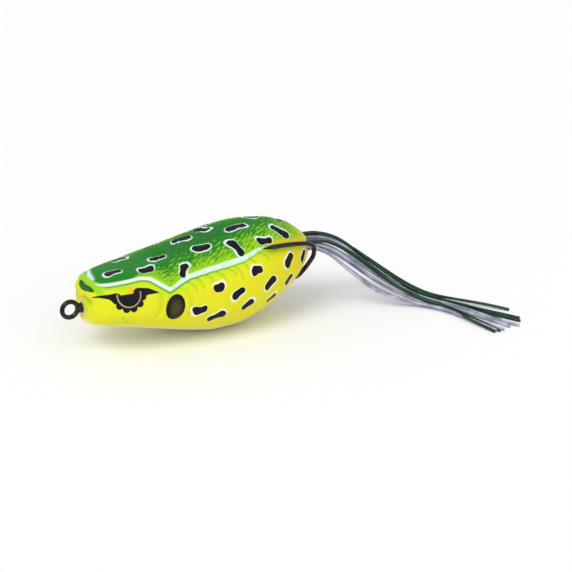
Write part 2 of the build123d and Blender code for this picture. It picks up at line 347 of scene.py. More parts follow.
# ---- node trees ------------------------------------------------------------------------------
class Shader:
    """One material, built from a Principled shader and the few node kinds that this script needs."""

    def __init__(self, name, **sockets):
        self.material = bpy.data.materials.new(name)
        self.material.use_nodes = True
        self.tree = self.material.node_tree
        self.surface = next(n for n in self.tree.nodes if n.type == "BSDF_PRINCIPLED")
        for socket, value in sockets.items():
            self.surface.inputs[socket.replace("_", " ")].default_value = value

    def node(self, kind, **settings):
        node = self.tree.nodes.new(kind)
        for key, value in settings.items():
            setattr(node, key, value)
        return node

    def link(self, output, target):
        self.tree.links.new(output, target)

    def attribute(self, name):
        return self.node("ShaderNodeAttribute", attribute_name=name).outputs["Fac"]

    def ramp(self, value, start, end, low=0.0, high=1.0):
        """Smooth step from low at start to high at end."""
        node = self.node("ShaderNodeMapRange", interpolation_type="SMOOTHSTEP")
        self.link(value, node.inputs["Value"])
        limits = (("From Min", start), ("From Max", end), ("To Min", low), ("To Max", high))
        for socket, number in limits:
            node.inputs[socket].default_value = number
        return node.outputs["Result"]

    def math(self, operation, a, b):
        node = self.node("ShaderNodeMath", operation=operation)
        for socket, value in zip(node.inputs, (a, b)):
            if isinstance(value, (int, float)):
                socket.default_value = value
            else:
                self.link(value, socket)
        return node.outputs[0]

    def mix(self, factor, a, b):
        """a where factor is 0 and b where it is 1; both may be colours or sockets."""
        node = self.node("ShaderNodeMix", data_type="RGBA")
        self.link(factor, node.inputs[0])
        for index, value in ((6, a), (7, b)):
            if isinstance(value, tuple):
                node.inputs[index].default_value = (*value, 1.0)
            else:
                self.link(value, node.inputs[index])
        return node.outputs[2]

    def place(self, grain=(1.0, 1.0, 1.0), turn=(0.0, 0.0, 0.0)):
        """Object coordinates in units of a grain, whose size is in millimetres, turned by degrees."""
        source = self.node("ShaderNodeTexCoord").outputs["Object"]
        node = self.node("ShaderNodeMapping", vector_type="TEXTURE")
        self.link(source, node.inputs["Vector"])
        node.inputs["Rotation"].default_value = [math.radians(angle) for angle in turn]
        node.inputs["Scale"].default_value = [size * MM for size in grain]
        return node.outputs["Vector"]

    def noise(self, where, scale, detail=3.0):
        node = self.node("ShaderNodeTexNoise")
        self.link(where, node.inputs["Vector"])
        node.inputs["Scale"].default_value = scale
        node.inputs["Detail"].default_value = detail
        return node.outputs["Fac"]

    def cells(self, where, scale, smoothness):
        node = self.node("ShaderNodeTexVoronoi", feature="SMOOTH_F1")
        self.link(where, node.inputs["Vector"])
        node.inputs["Scale"].default_value = scale
        node.inputs["Smoothness"].default_value = smoothness
        return node.outputs["Distance"]

    def bump(self, height, strength, distance):
        node = self.node("ShaderNodeBump")
        node.inputs["Strength"].default_value = strength
        node.inputs["Distance"].default_value = distance
        self.link(height, node.inputs["Height"])
        self.link(node.outputs["Normal"], self.surface.inputs["Normal"])

    def colour(self, socket):
        self.link(socket, self.surface.inputs["Base Color"])

    def roughness(self, socket):
        self.link(socket, self.surface.inputs["Roughness"])


# ---- body shape ------------------------------------------------------------------------------
def smooth_curve(xs, values, at):
    """Monotone cubic through the values, the curve that the CAD skin uses between its stations."""
    xs, values, at = np.asarray(xs, float), np.asarray(values, float), np.asarray(at, float)
    steps, rises = np.diff(xs), np.diff(values) / np.diff(xs)
    gradients = np.zeros(len(xs))
    gradients[0], gradients[-1] = rises[0], rises[-1]
    for i in range(1, len(xs) - 1):
        left, right = rises[i - 1], rises[i]
        if left * right > 0:
            a, b = 2 * steps[i] + steps[i - 1], steps[i] + 2 * steps[i - 1]
            gradients[i] = (a + b) / (a / left + b / right)
    i = np.clip(np.searchsorted(xs, at, side="right") - 1, 0, len(xs) - 2)
    t = (at - xs[i]) / steps[i]
    return ((2 * t ** 3 - 3 * t ** 2 + 1) * values[i] + (t ** 3 - 2 * t ** 2 + t) * steps[i] * gradients[i]
            + (3 * t ** 2 - 2 * t ** 3) * values[i + 1] + (t ** 3 - t ** 2) * steps[i] * gradients[i + 1])


def shape_at(x):
    """Back, belly, half width, widest height and top squareness at x."""
    x = np.clip(np.asarray(x, float), STATIONS[0][0], RUMP_X)
    columns = list(zip(*STATIONS))
    back, belly, half, widest = [smooth_curve(columns[0], column, x) for column in columns[1:]]
    along = np.clip((x - HEAD_X) / (RUMP_X - HEAD_X), 0, 1)
    return back, belly, half, widest, HEAD_SQUARENESS + along * (RUMP_SQUARENESS - HEAD_SQUARENESS)


def skin_point(x, turn, inset=0.0):
    """Point of the skin at x and turn, in millimetres; positive turn lies on the left flank."""
    x, turn = np.broadcast_arrays(np.asarray(x, float), np.radians(np.asarray(turn, float)))
    back, belly, half, widest, squareness = shape_at(x)
    up, across = np.cos(turn), np.sin(turn)
    power = np.where(up > 0, 2 / squareness, 2 / BELLY_SQUARENESS)
    height = np.where(up > 0, back - widest, widest - belly) - inset
    y = -(half - inset) * np.sign(across) * np.abs(across) ** power
    z = widest + height * np.sign(up) * np.abs(up) ** power
    return np.stack([x, y, z], axis=-1)


def turn_at(points):
    """Turn of points on the skin, 0 on the ridge and 180 at the keel, and how near the skin they are."""
    back, belly, half, widest, squareness = shape_at(points[:, 0])
    rise = points[:, 2] - widest
    exponent = np.where(rise > 0, squareness, BELLY_SQUARENESS)
    height = np.where(rise > 0, back - widest, widest - belly)
    across = np.abs(points[:, 1] / half) ** (exponent / 2)
    up = np.sign(rise) * np.abs(rise / height) ** (exponent / 2)
    return np.degrees(np.arctan2(across, up)), across ** 2 + up ** 2


def quarter(x, first, last, cells, inset):
    """Evenly spaced skin points from one turn to another, found on a much finer run of them."""
    turns = first + (last - first) * (0.5 - 0.5 * np.cos(np.linspace(0, np.pi, 241)))
    dense = skin_point(x, turns, inset)
    run = np.concatenate([[0], np.cumsum(np.linalg.norm(np.diff(dense, axis=0), axis=1))])
    even = np.linspace(0, run[-1], cells + 1)
    return np.stack([np.interp(even, run, dense[:, axis]) for axis in range(3)], axis=-1)


def ring(x, top_cells, belly_cells, inset):
    """One closed ring of the skin, counted from the ridge down the left flank and up the right."""
    top = quarter(x, 0, 90, top_cells, inset)
    belly = quarter(x, 90, 180, belly_cells, inset)
    left = np.concatenate([top[:-1], belly])
    right = left[-2:0:-1] * (1, -1, 1)
    return np.concatenate([left, right])


def even_stations(first, last, step):
    """Values of x that are evenly spaced along the skin's outline, so steep ends get more rings."""
    x = np.linspace(first, last, 3001)
    back, belly, half, _, _ = shape_at(x)
    steepest = np.max(np.abs(np.gradient(np.stack([back, belly, half]), x, axis=1)), axis=0)
    run = np.concatenate([[0], np.cumsum(np.hypot(1, steepest)[1:] * np.diff(x))])
    count = int(run[-1] / step)
    return np.interp(np.linspace(0, run[-1], count + 1), run, x)


def ring_faces(rows, around):
    """Quads between rows of points that each close into a ring."""
    faces = []
    for row in range(rows - 1):
        for i in range(around):
            j = (i + 1) % around
            a, b = row * around, (row + 1) * around
            faces.append((a + i, b + i, b + j, a + j))
    return faces


def shell(xs, top_cells, belly_cells, inset, cap_step):
    """Closed surface through rings at xs, with flat ends; returns its points and its faces."""
    rings = [ring(x, top_cells, belly_cells, inset) for x in xs]

    def cap(edge):
        middle = np.array([edge[0, 0], 0.0, (edge[:, 2].max() + edge[:, 2].min()) / 2])
        count = max(2, int(np.abs(edge[:, 1]).max() / cap_step))
        return [middle + (edge - middle) * (count - i) / count for i in range(1, count)], middle

    front, front_middle = cap(rings[0])
    rear, rear_middle = cap(rings[-1])
    rings = front[::-1] + rings + rear
    around = len(rings[0])
    points = np.concatenate(rings + [front_middle[None], rear_middle[None]])
    faces = ring_faces(len(rings), around)
    last = (len(rings) - 1) * around
    for i in range(around):
        j = (i + 1) % around
        faces.append((len(points) - 2, i, j))
        faces.append((last + j, last + i, len(points) - 1))
    return points, faces


def mesh_object(name, points, faces):
    mesh = bpy.data.meshes.new(name)
    mesh.from_pydata((np.asarray(points) * MM).tolist(), [], faces)
    mesh.validate()
    obj = bpy.data.objects.new(name, mesh)
    bpy.context.scene.collection.objects.link(obj)
    return obj


def bar(name, outline, x_range):
    """Closed bar along X with the given (y, z) outline."""
    count = len(outline)
    points = [(x, y, z) for x in x_range for y, z in outline]
    faces = [tuple(range(count))[::-1], tuple(range(count, 2 * count))]
    for i in range(count):
        j = (i + 1) % count
        faces.append((i, j, count + j, count + i))
    return mesh_object(name, points, faces)


def circle(radius, y, z, count=64):
    steps = [2 * math.pi * i / count for i in range(count)]
    return [(y + radius * math.cos(a), z + radius * math.sin(a)) for a in steps]


def rounded_slot():
    """Outline of the shank slot: a rectangle with rounded corners."""
    outline = []
    corners = [(1, 1), (-1, 1), (-1, -1), (1, -1)]
    middle, half_height = sum(SLOT_Z) / 2, (SLOT_Z[1] - SLOT_Z[0]) / 2
    for quadrant, (side, up) in enumerate(corners):
        y = side * (SLOT_HALF_WIDTH - SLOT_CORNER)
        z = middle + up * (half_height - SLOT_CORNER)
        for step in range(CORNER_STEPS + 1):
            angle = math.radians(90 * quadrant + 90 * step / CORNER_STEPS)
            outline.append((y + SLOT_CORNER * math.cos(angle), z + SLOT_CORNER * math.sin(angle)))
    return outline


def cut(obj, cutters):
    """Subtracts the cutters and applies the result to the mesh."""
    for cutter in cutters:
        modifier = obj.modifiers.new("cut", "BOOLEAN")
        modifier.operation = "DIFFERENCE"
        modifier.solver = "EXACT"
        modifier.object = cutter
    bpy.context.view_layer.update()
    result = bpy.data.meshes.new_from_object(obj.evaluated_get(bpy.context.evaluated_depsgraph_get()))
    obj.modifiers.clear()
    obj.data = result
    for cutter in cutters:
        bpy.data.objects.remove(cutter)


# ---- distances over the skin, in millimetres -------------------------------------------------
def on_left(points):
    """The points with those of the right flank mirrored to the left."""
    return points * (1, 0, 1) - np.abs(points) * (0, 1, 0)


def to_stroke(points, stroke, cells=10):
    """Signed distance to a stroke laid on the skin: rounded, with its own half width along it."""
    stroke = np.asarray(stroke, float)
    steps = np.linspace(0, len(stroke) - 1, (len(stroke) - 1) * cells + 1)
    x, turn, half = [np.interp(steps, np.arange(len(stroke)), stroke[:, i]) for i in range(3)]
    path = skin_point(x, turn)
    best = np.full(len(points), FAR)
    low, high = path.min(axis=0) - STROKE_MARGIN, path.max(axis=0) + STROKE_MARGIN
    near = np.flatnonzero(np.all((points > low) & (points < high), axis=1))
    close = points[near]
    for a, b, half_a, half_b in zip(path, path[1:], half, half[1:]):
        along = b - a
        t = np.clip((close - a) @ along / max(along @ along, 1e-9), 0, 1)
        distance = np.linalg.norm(close - a - t[:, None] * along, axis=1)
        best[near] = np.minimum(best[near], distance - (half_a + t * (half_b - half_a)))
    return best


def nearest_stroke(points, strokes, cells=10):
    nearest = np.full(len(points), FAR)
    for stroke in strokes:
        nearest = np.minimum(nearest, to_stroke(points, stroke, cells))
    return nearest


def local(points, x, turn):
    """Coordinates about a place on the skin: towards the tail, towards the ridge, and outward."""
    centre = skin_point(x, turn)
    flank = np.sign(turn)
    tailward = skin_point(x + NUDGE_X, turn) - skin_point(x - NUDGE_X, turn)
    upward = skin_point(x, turn - NUDGE_TURN * flank) - skin_point(x, turn + NUDGE_TURN * flank)
    tailward = tailward / np.linalg.norm(tailward)
    upward = upward - (upward @ tailward) * tailward
    upward = upward / np.linalg.norm(upward)
    outward = np.cross(tailward, upward) * flank
    offset = points - centre
    return offset @ tailward, offset @ upward, offset @ outward


def to_spot(points, spot, side, grow=0.0, shift=(0.0, 0.0)):
    """Signed distance to one painted spot, a blot of two unequal lobes joined by a neck."""
    x, turn, length, width, tilt = spot
    u, v, w = local(points, x, turn * side)
    u, v = u - shift[0], v - shift[1]
    angle = math.radians(tilt)
    along = u * math.cos(angle) + v * math.sin(angle)
    across = v * math.cos(angle) - u * math.sin(angle)
    reach = max((length - width) / 2, 0.0)
    fraction = along / max(length / 2, 0.1)
    bow = 0.14 * width * (1 - fraction ** 2) * math.copysign(1, math.sin(7 * x))
    body = np.hypot(np.maximum(np.abs(along) - reach, 0), across - bow) - width / 2
    neck = 0.05 * width * np.cos(np.clip(fraction, -1, 1) * math.pi * 1.1)
    taper = 0.07 * width * fraction * math.copysign(1, math.cos(5 * x))
    ripple = 0.07 * np.sin(1.7 * along + 5 * x) + 0.04 * np.sin(3.1 * across + 2 * x)
    distance = body + neck + taper + ripple - grow
    return np.where(np.abs(w) < MARK_DEPTH, distance, FAR)


def edge_turn(x):
    """Turn of the back's lower edge at x."""
    return np.interp(x, *zip(*BACK_EDGE))


def line_half_width(x):
    """Half width, at x, of the pale line that follows the edge."""
    return np.interp(x, *zip(*EDGE_LINE))


def to_edge(points, turn):
    """Signed distance to the lower edge of the green back, positive on the back."""
    left = on_left(points)
    corners = [x for x, _ in BACK_EDGE]
    xs = np.unique(np.concatenate([np.linspace(corners[0], corners[-1], 90), corners]))
    path = skin_point(xs, edge_turn(xs))
    best = np.full(len(points), np.inf)
    for a, b in zip(path, path[1:]):
        along = b - a
        t = np.clip((left - a) @ along / (along @ along), 0, 1)
        best = np.minimum(best, np.linalg.norm(left - a - t[:, None] * along, axis=1))
    above = (turn < edge_turn(points[:, 0])) & (points[:, 0] > corners[0])
    return np.where(above, best, -best)


def smooth(value, start, end):
    """Smooth step from 0 at start to 1 at end."""
    t = np.clip((value - start) / (end - start), 0, 1)
    return t * t * (3 - 2 * t)


def bell(distance, width):
    """1 at no distance, falling off over the width."""
    return np.exp(-(distance / width) ** 2)


def spot_fields(points):
    """Signed distances to the nearest black spot and to the nearest of the halos round the spots."""
    spots, halos = np.full(len(points), FAR), np.full(len(points), FAR)
    for group, halo in ((BACK_SPOTS, BACK_HALO), (FLANK_SPOTS, FLANK_HALO)):
        for number, spot in enumerate(group):
            sides = (1,) if abs(spot[1]) < BOTH_SIDES_TURN else (1, -1)
            shift = (-0.22 * math.cos(2.3 * number), 0.24 if number % 3 else -0.12)
            for side in sides:
                spots = np.minimum(spots, to_spot(points, spot, side))
                halos = np.minimum(halos, to_spot(points, spot, side, halo, shift))
    return {"spot": spots, "halo": halos}


def eye_fields(left):
    """Signed distances to the eye's painted parts, and places about its middle."""
    u, v, w = local(left, *EYE)
    off_eye = np.where(np.abs(w) < EYE_DEPTH, 0.0, FAR)
    radius = np.hypot(u, v) + off_eye
    above_lid = v - LID_EDGE
    mask = np.maximum(radius - EYE_MASK_R, above_lid)
    for spike in EYE_SPIKES:
        mask = np.minimum(mask, to_stroke(left, spike))
    for angle in np.radians(EYE_LOBE_ANGLES):
        from_lobe = np.hypot(u - EYE_LOBE_REACH * np.cos(angle), v - EYE_LOBE_REACH * np.sin(angle))
        mask = np.minimum(mask, from_lobe + off_eye - EYE_LOBE_R)
    return {
        "pupil": np.maximum(radius - PUPIL_R, above_lid),
        "eye_ring": np.maximum(np.abs(radius - EYE_RING_R) - EYE_RING_HALF, v - EYE_RING_TOP),
        "eye_mask": mask, "eye_radius": radius, "eye_u": u, "eye_v": v,
    }


def to_ear(left):
    """Signed distance to the rim of the leaning oval ear."""
    u, v, w = local(left, *EAR)
    lean = math.radians(EAR_LEAN)
    along = v * math.cos(lean) + u * math.sin(lean)
    across = u * math.cos(lean) - v * math.sin(lean)
    rim = (np.hypot(across / EAR_HALF[0], along / EAR_HALF[1]) - 1) * EAR_HALF[0]
    return np.where(np.abs(w) < MARK_DEPTH, rim, FAR)


def rib_strokes():
    """Shallow uneven creases that run down the flank from below the back's edge."""
    strokes = []
    for number in range(RIBS):
        start = RIB_START_X + RIB_PITCH * number
        top = float(edge_turn(start))
        reach = 1.0 + 0.25 * math.sin(3 * number)
        slant = 1.0 + 0.3 * math.sin(5 * number)
        stroke = [(start, top + RIB_TOP[0], RIB_TOP[1])]
        stroke += [(start + run * slant, top + drop * reach, half) for run, drop, half in RIB_REST]
        strokes.append(stroke)
    return strokes


def paint_fields(points):
    """Everything that the skin's paint and relief are made of, one number for each point."""
    turn, nearness = turn_at(points)
    left = on_left(points)
    edge = to_edge(points, turn)
    return {
        "outer": nearness > OUTER_NEARNESS, "turn": turn, "x": points[:, 0], "edge": edge,
        "line": np.abs(edge) - line_half_width(points[:, 0]), "ear": to_ear(left),
        "folds": nearest_stroke(left, CHEEK_FOLDS), "ribs": nearest_stroke(left, rib_strokes(), 6),
        "mouth": to_stroke(left, MOUTH), "upper_lip": to_stroke(left, UPPER_LIP),
        "lower_lip": to_stroke(left, LOWER_LIP), "recess": np.maximum(to_stroke(left, RECESS), 0),
        "glint": to_stroke(points, BROW_GLINT), **spot_fields(points), **eye_fields(left),
    }


def relief(f):
    """How far the moulded relief stands proud of the plain skin, in millimetres."""
    x, edge, turn = f["x"], f["edge"], f["turn"]
    height = BACK_STEP * smooth(edge, -0.5, 0.4) * smooth(x, 4.2, 6.0) * (1 - smooth(x, 44, 52))
    height -= EDGE_GROOVE * bell(edge + 0.75, 0.5) * smooth(x, 5.5, 7.0) * (1 - smooth(x, 42, 50))
    height -= NOSE_DISH * (1 - smooth(x, 3.6, 6.5)) * (1 - smooth(turn, 20, 50)) * smooth(x, 3.2, 3.9)
    height += UPPER_LIP_RISE * bell(np.maximum(f["upper_lip"], 0), 0.5)
    height -= MOUTH_DEPTH * bell(np.maximum(f["mouth"] + 0.3, 0), 0.35)
    height += LOWER_LIP_RISE * bell(np.maximum(f["lower_lip"], 0), 0.55)
    height -= RECESS_DEPTH * bell(f["recess"], 0.5)
    ball = np.sqrt(np.maximum(0, 1 - (f["eye_radius"] / (EYE_RING_R + 0.5)) ** 2))
    height += EYEBALL_RISE * ball * smooth(-f["eye_v"], -0.6, 0.1)
    height += BROW_RISE * bell(f["eye_v"] - 0.95, 0.6) * (1 - smooth(f["eye_radius"], 2.5, 4.8))
    height += EAR_RISE * smooth(-f["ear"], 0.15, 0.9) - EAR_RISE * bell(f["ear"], 0.28)
    height -= FOLD_DEPTH * bell(np.maximum(f["folds"], 0), 0.4)
    height -= FOLD_DEPTH * bell(np.maximum(f["ribs"], 0), 0.34)
    return height * f["outer"]


def scales(f):
    """Grains of the back's moulded scales, short strokes in staggered wavy rows, and their strength."""
    x, edge = f["x"], f["edge"]
    down = np.radians(f["turn"]) * BACK_R
    slant = math.radians(SCALE_SLANT)
    wander = 0.22 * np.sin(x * 1.1 + down * 0.8) + 0.16 * np.sin(down * 1.9 - x * 0.6)
    across = (x * math.sin(slant) + down * math.cos(slant)) / SCALE_WIDTH + wander
    along = (x * math.cos(slant) - down * math.sin(slant)) / SCALE_LENGTH + wander
    row = np.floor(across)
    stagger = 0.5 * row + 0.23 * np.sin(row * 12.9)
    crest = 0.5 - 0.5 * np.cos(2 * np.pi * across)
    grain = crest * (0.30 + 0.70 * (0.5 - 0.5 * np.cos(2 * np.pi * (along + stagger))))
    strength = smooth(edge, 0.4, 1.3) * (0.15 + 0.85 * smooth(x, 13, 21)) * (1 - smooth(x, 56, 60))
    return grain, strength * f["outer"]


def to_hole(points):
    """Distance to the rim of the nearest round hole."""
    x, y, z = points.T
    nose = np.where(x > NOSE_END_X, FAR, np.hypot(y, z) - NOSE_BORE_R)
    legs = [np.where(x < RUMP_START_X, FAR, np.hypot(y - side * LEG_Y, z - LEG_Z) - LEG_HOLE_R)
            for side in (-1, 1)]
    return np.minimum.reduce([nose, *legs])


def material_fields(f, grain, scaly):
    """What the skin's material reads: the edge, then strengths, then signed distances to its marks."""
    x, edge = f["x"], f["edge"]
    lime_width = np.interp(x, *zip(*LIME_WIDTH))
    # painted shadow in the groove just below the pale line, under the back's overhanging edge
    edge_shadow = bell(edge + line_half_width(x) + 0.22, 0.24)
    lid = bell(np.maximum(np.abs(f["eye_v"] - 0.75) - 0.25, 0), 0.3) * bell(f["eye_u"] - 0.7, 1.1)
    strengths = {
        "grain": grain,
        "scaly": scaly,
        "deep": np.clip(edge / lime_width, 0, 1.2),
        "ridge": smooth(edge, 5.0, 11.0) * 0.6 * (1 - smooth(x, 36, 52)),
        "rump": 0.8 * smooth(x, 53, 59.5),
        "hook_band": 0.75 * bell(edge - 0.4, 0.8) * smooth(x, 44, 49),
        "lime": bell(np.maximum(-edge, 0), 2.6) * 0.9 + 0.22 * smooth(30 - x, 0, 20),
        "warm": 0.45 * smooth(x, 44, 58) + 0.08,
        "cream": smooth(f["turn"], 122, 152) * 0.75 * (1 - 0.6 * smooth(x, 30, 50)),
        "edge_shadow": edge_shadow * smooth(x, 5.2, 7) * (1 - 0.6 * smooth(x, 24, 46)) * 0.9,
        # painted shade in the creases of the ribs and the cheek folds
        "fold_shadow": 0.5 * bell(np.maximum(f["ribs"], 0), 0.16) + 0.22 * bell(np.maximum(f["folds"], 0), 0.2),
        # painted shade: lime green laid in the recess under the lower lip
        "recess": 0.75 * bell(f["recess"], 0.5),
        "lip_lime": bell(np.maximum(f["upper_lip"], 0), 0.35),
        "lip_warm": 0.45 * bell(np.maximum(f["lower_lip"], 0), 0.4),
        "lid": lid,
        "ear_middle": smooth(-f["ear"], 0.25, 1.6),
    }
    marks = ("glint", "mouth", "line", "halo", "spot", "eye_mask", "eye_ring", "pupil", "ear")
    # each group with the value that leaves the inner wall unpainted
    groups = [(-FAR, {"edge": edge}), (0.0, strengths), (FAR, {name: f[name] for name in marks})]
    return {name: np.where(f["outer"], np.clip(values, -FAR, FAR), unpainted)
            for unpainted, group in groups for name, values in group.items()}


def skin_material():
    shader = Shader("frog_skin", IOR=1.45, Specular_IOR_Level=0.22)
    where = shader.place()
    mottle = shader.noise(where, 0.30)
    streak = shader.noise(shader.place((1.6, 0.6, 0.5), (0, -30, 0)), 1.0, 2.0)
    fleck = shader.math("SUBTRACT", shader.ramp(streak, 0.3, 0.7), 0.5)
    scaly = shader.attribute("scaly")
    grain = shader.attribute("grain")
    # painted highlight and shade on the moulded scales: the back is painted lighter, towards lime, on the
    # scales' crests and bright flecks, and deeper green in their gaps and dark flecks
    crest_light = shader.math("SUBTRACT", grain, 0.38)
    scale_light_and_shade = shader.math("ADD", shader.math("MULTIPLY", crest_light, 0.85), shader.math("MULTIPLY", fleck, 0.34))
    deep = shader.math("SUBTRACT", shader.attribute("deep"), shader.math("MULTIPLY", scale_light_and_shade, scaly))
    deep = shader.math("ADD", deep, shader.ramp(mottle, 0.3, 0.7, -0.10, 0.12))
    back = shader.mix(shader.ramp(deep, -0.05, 1.0), LIME, DEEP_GREEN)
    back = shader.mix(shader.attribute("ridge"), back, RIDGE_GREEN)
    back = shader.mix(shader.attribute("rump"), back, RUMP_YELLOW)
    back = shader.mix(shader.attribute("hook_band"), back, ORANGE_YELLOW)
    lime = shader.math("ADD", shader.attribute("lime"), shader.ramp(mottle, 0.3, 0.7, -0.14, 0.14))
    flank = shader.mix(shader.ramp(lime, 0.0, 1.0), YELLOW, LIME_YELLOW)
    flank = shader.mix(shader.attribute("warm"), flank, ORANGE_YELLOW)
    flank = shader.mix(shader.attribute("cream"), flank, CREAM)
    # darker lime painted into the ribs and folds as their shade
    flank = shader.mix(shader.attribute("fold_shadow"), flank, RIB_SHADOW)
    on_back = shader.ramp(shader.attribute("edge"), -0.05, 0.05)
    colour = shader.mix(on_back, flank, back)
    halo_paint = shader.mix(on_back, HALO_CREAM, MINT)
    # from the lowest to the topmost: field, paint, and the softness of its rim if the field is a distance
    layers = (
        ("glint", MINT, 0.55),
        # painted shadow under the back's edge
        ("edge_shadow", EDGE_SHADOW_GREEN, None),
        ("lip_lime", LIME, None),
        # painted shade in the recess under the lower lip
        ("lip_warm", ORANGE_YELLOW, None),
        ("recess", LIME, None),
        ("mouth", MOUTH_GREEN, 0.10),
        ("line", MINT, 0.14),
        ("halo", halo_paint, 0.16),
        ("spot", PAINT_BLACK, 0.06),
        ("lid", LID_ORANGE, None),
        ("eye_mask", PAINT_BLACK, 0.06),
        ("eye_ring", GOLD, 0.08),
        ("pupil", PAINT_BLACK, 0.05),
        ("ear", PAINT_BLACK, 0.06),
        ("ear_middle", EAR_BROWN, None),
    )
    for name, paint, soft in layers:
        value = shader.attribute(name)
        factor = value if soft is None else shader.ramp(value, soft, -soft)
        colour = shader.mix(factor, colour, paint)
    shader.colour(colour)
    shader.roughness(shader.ramp(mottle, 0.2, 0.8, 0.36, 0.50))
    fine = shader.math("MULTIPLY", shader.noise(where, 1.6, 2.0), 0.3)
    pebble = shader.math("MULTIPLY", shader.math("ADD", fleck, grain), scaly)
    shader.bump(shader.math("ADD", pebble, fine), 0.7, 0.00014)
    return shader.material


def add_field(mesh, name, values):
    attribute = mesh.attributes.new(name, "FLOAT", "POINT")
    attribute.data.foreach_set("value", np.ascontiguousarray(values, np.float32))


def vectors(rows, name):
    """Coordinates or normals of a mesh, three numbers for each vertex."""
    values = np.empty(len(rows) * 3)
    rows.foreach_get(name, values)
    return values.reshape(-1, 3)


def plain_body():
    """The hollow shell with its openings, before its relief is raised."""
    outer_x = even_stations(STATIONS[0][0], RUMP_X, RING_STEP)
    points, faces = shell(outer_x, TOP_CELLS, BELLY_CELLS, 0.0, CAP_STEP)
    inner_x = even_stations(STATIONS[0][0] + END_WALL, RUMP_X - END_WALL, INNER_STEP)
    inner_points, inner_faces = shell(inner_x, INNER_TOP_CELLS, INNER_BELLY_CELLS, WALL, INNER_STEP)
    faces += [tuple(len(points) + i for i in face[::-1]) for face in inner_faces]
    obj = mesh_object("frog_body", np.concatenate([points, inner_points]), faces)
    cutters = [bar("nose_cutter", circle(NOSE_BORE_R, 0, 0), NOSE_BORE_X),
               bar("slot_cutter", rounded_slot(), SLOT_X)]
    for side in (-1, 1):
        cutters.append(bar("leg_cutter", circle(LEG_HOLE_R, side * LEG_Y, LEG_Z), LEG_HOLE_X))
    cut(obj, cutters)
    return obj


def body_skin():
    obj = plain_body()
    mesh = obj.data
    rest = vectors(mesh.vertices, "co") / MM
    normals = vectors(mesh.vertex_normals, "vector")
    f = paint_fields(rest)
    grain, scaly = scales(f)
    proud = (relief(f) + SCALE_HEIGHT * grain * scaly) * smooth(to_hole(rest), *RIM_FADE)
    moved = rest + normals * proud[:, None]
    moved[:, 2] = np.maximum(moved[:, 2], FLOOR_Z)
    moved *= MM
    mesh.vertices.foreach_set("co", moved.ravel())
    for name, values in material_fields(f, grain, scaly).items():
        add_field(mesh, name, values)
    shade_smooth(obj, SKIN_SHARP)
    mesh.materials.clear()
    mesh.materials.append(skin_material())
    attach(obj, "lure")
    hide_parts("body_skin")


def shade_smooth(obj, sharp_degrees):
    """Smooth shading, broken where two faces meet at more than the given angle."""
    work = bmesh.new()
    work.from_mesh(obj.data)
    for face in work.faces:
        face.smooth = True
    for edge in work.edges:
        edge.smooth = len(edge.link_faces) == 2 and edge.calc_face_angle(0) < math.radians(sharp_degrees)
    work.to_mesh(obj.data)
    work.free()


# ---- skirt legs ------------------------------------------------------------------------------
def heading(points, index):
    """Direction of a run of points at one of them."""
    ahead, behind = points[min(index + 1, len(points) - 1)], points[max(index - 1, 0)]
    return (ahead - behind).normalized()


def strand_place(number):
    """Where a strand sits: (across, up) at the round root and flat waist, and across in the fan."""
    if number % 2:
        angle = 90 - 30 * number
    else:
        angle = 270 + 15 * number
    ring_r = 0.0 if number == 0 else RING_R
    root = (ring_r * math.cos(math.radians(angle)), ring_r * math.sin(math.radians(angle)))
    waist = (number * STRAND_PITCH / 2, LAYER_RISE * (number % 2))
    fan = number * TIP_PITCH
    return root, waist, fan


def strand_route(route, number):
    """Control points of a strand that keeps to its place in the even bundle."""
    root, waist, fan = strand_place(number)
    middle = [Vector((x, y, z)) for x, y, z, _, _ in route]
    points = []
    for index, (_, _, _, flat, open_fan) in enumerate(route):
        along = heading(middle, index)
        side = Vector((0, 0, 1)).cross(along).normalized()
        normal = along.cross(side)
        round_root = max(0.0, 1.0 - flat - open_fan)
        across = round_root * root[0] + flat * waist[0] + open_fan * fan
        up = round_root * root[1] + (1 - round_root - open_fan ** 2) * waist[1]
        points.append(middle[index] + side * across + normal * up)
    return points


def loose_route(route, number, lay, side, hang_place):
    """The strand's control points, moved from the even bundle to its own loose lay."""
    sag, sway, tip_shift, extra = lay
    controls = strand_route(route, number)
    moved = []
    for index, point in enumerate(controls):
        place = index / (len(controls) - 1)
        across = Vector((0, 0, 1)).cross(heading(controls, index)).normalized()
        hang = math.exp(-((place - hang_place) / HANG_REACH) ** 2) if index > 1 else 0.0
        pull = math.exp(-((place - WAIST_PLACE) / WAIST_REACH) ** 2)
        shift = tip_shift * max(0.0, place - TIP_PLACE) / TIP_REACH
        offset = across * (sway * hang - side * WAIST_PULL * pull + shift)
        offset -= Vector((0, 0, sag * hang))
        point = point + offset
        point.z = max(point.z, REST_Z)
        moved.append(point)
    moved[-1] = moved[-1] + (moved[-1] - moved[-2]).normalized() * extra
    moved[-1].z = REST_Z
    return moved


def spline_points(name, controls):
    """Points along the smooth NURBS line that the control points steer, in metres."""
    curve = bpy.data.curves.new(name, "CURVE")
    curve.dimensions = "3D"
    spline = curve.splines.new("NURBS")
    spline.points.add(len(controls) - 1)
    for point, control in zip(spline.points, controls):
        point.co = (*(control * MM), 1.0)
    spline.order_u = 3
    spline.use_endpoint_u = True
    spline.resolution_u = 10
    holder = bpy.data.objects.new(name, curve)
    mesh = bpy.data.meshes.new_from_object(holder)
    points = [vertex.co.copy() for vertex in mesh.vertices]
    bpy.data.objects.remove(holder)
    bpy.data.meshes.remove(mesh)
    bpy.data.curves.remove(curve)
    return points


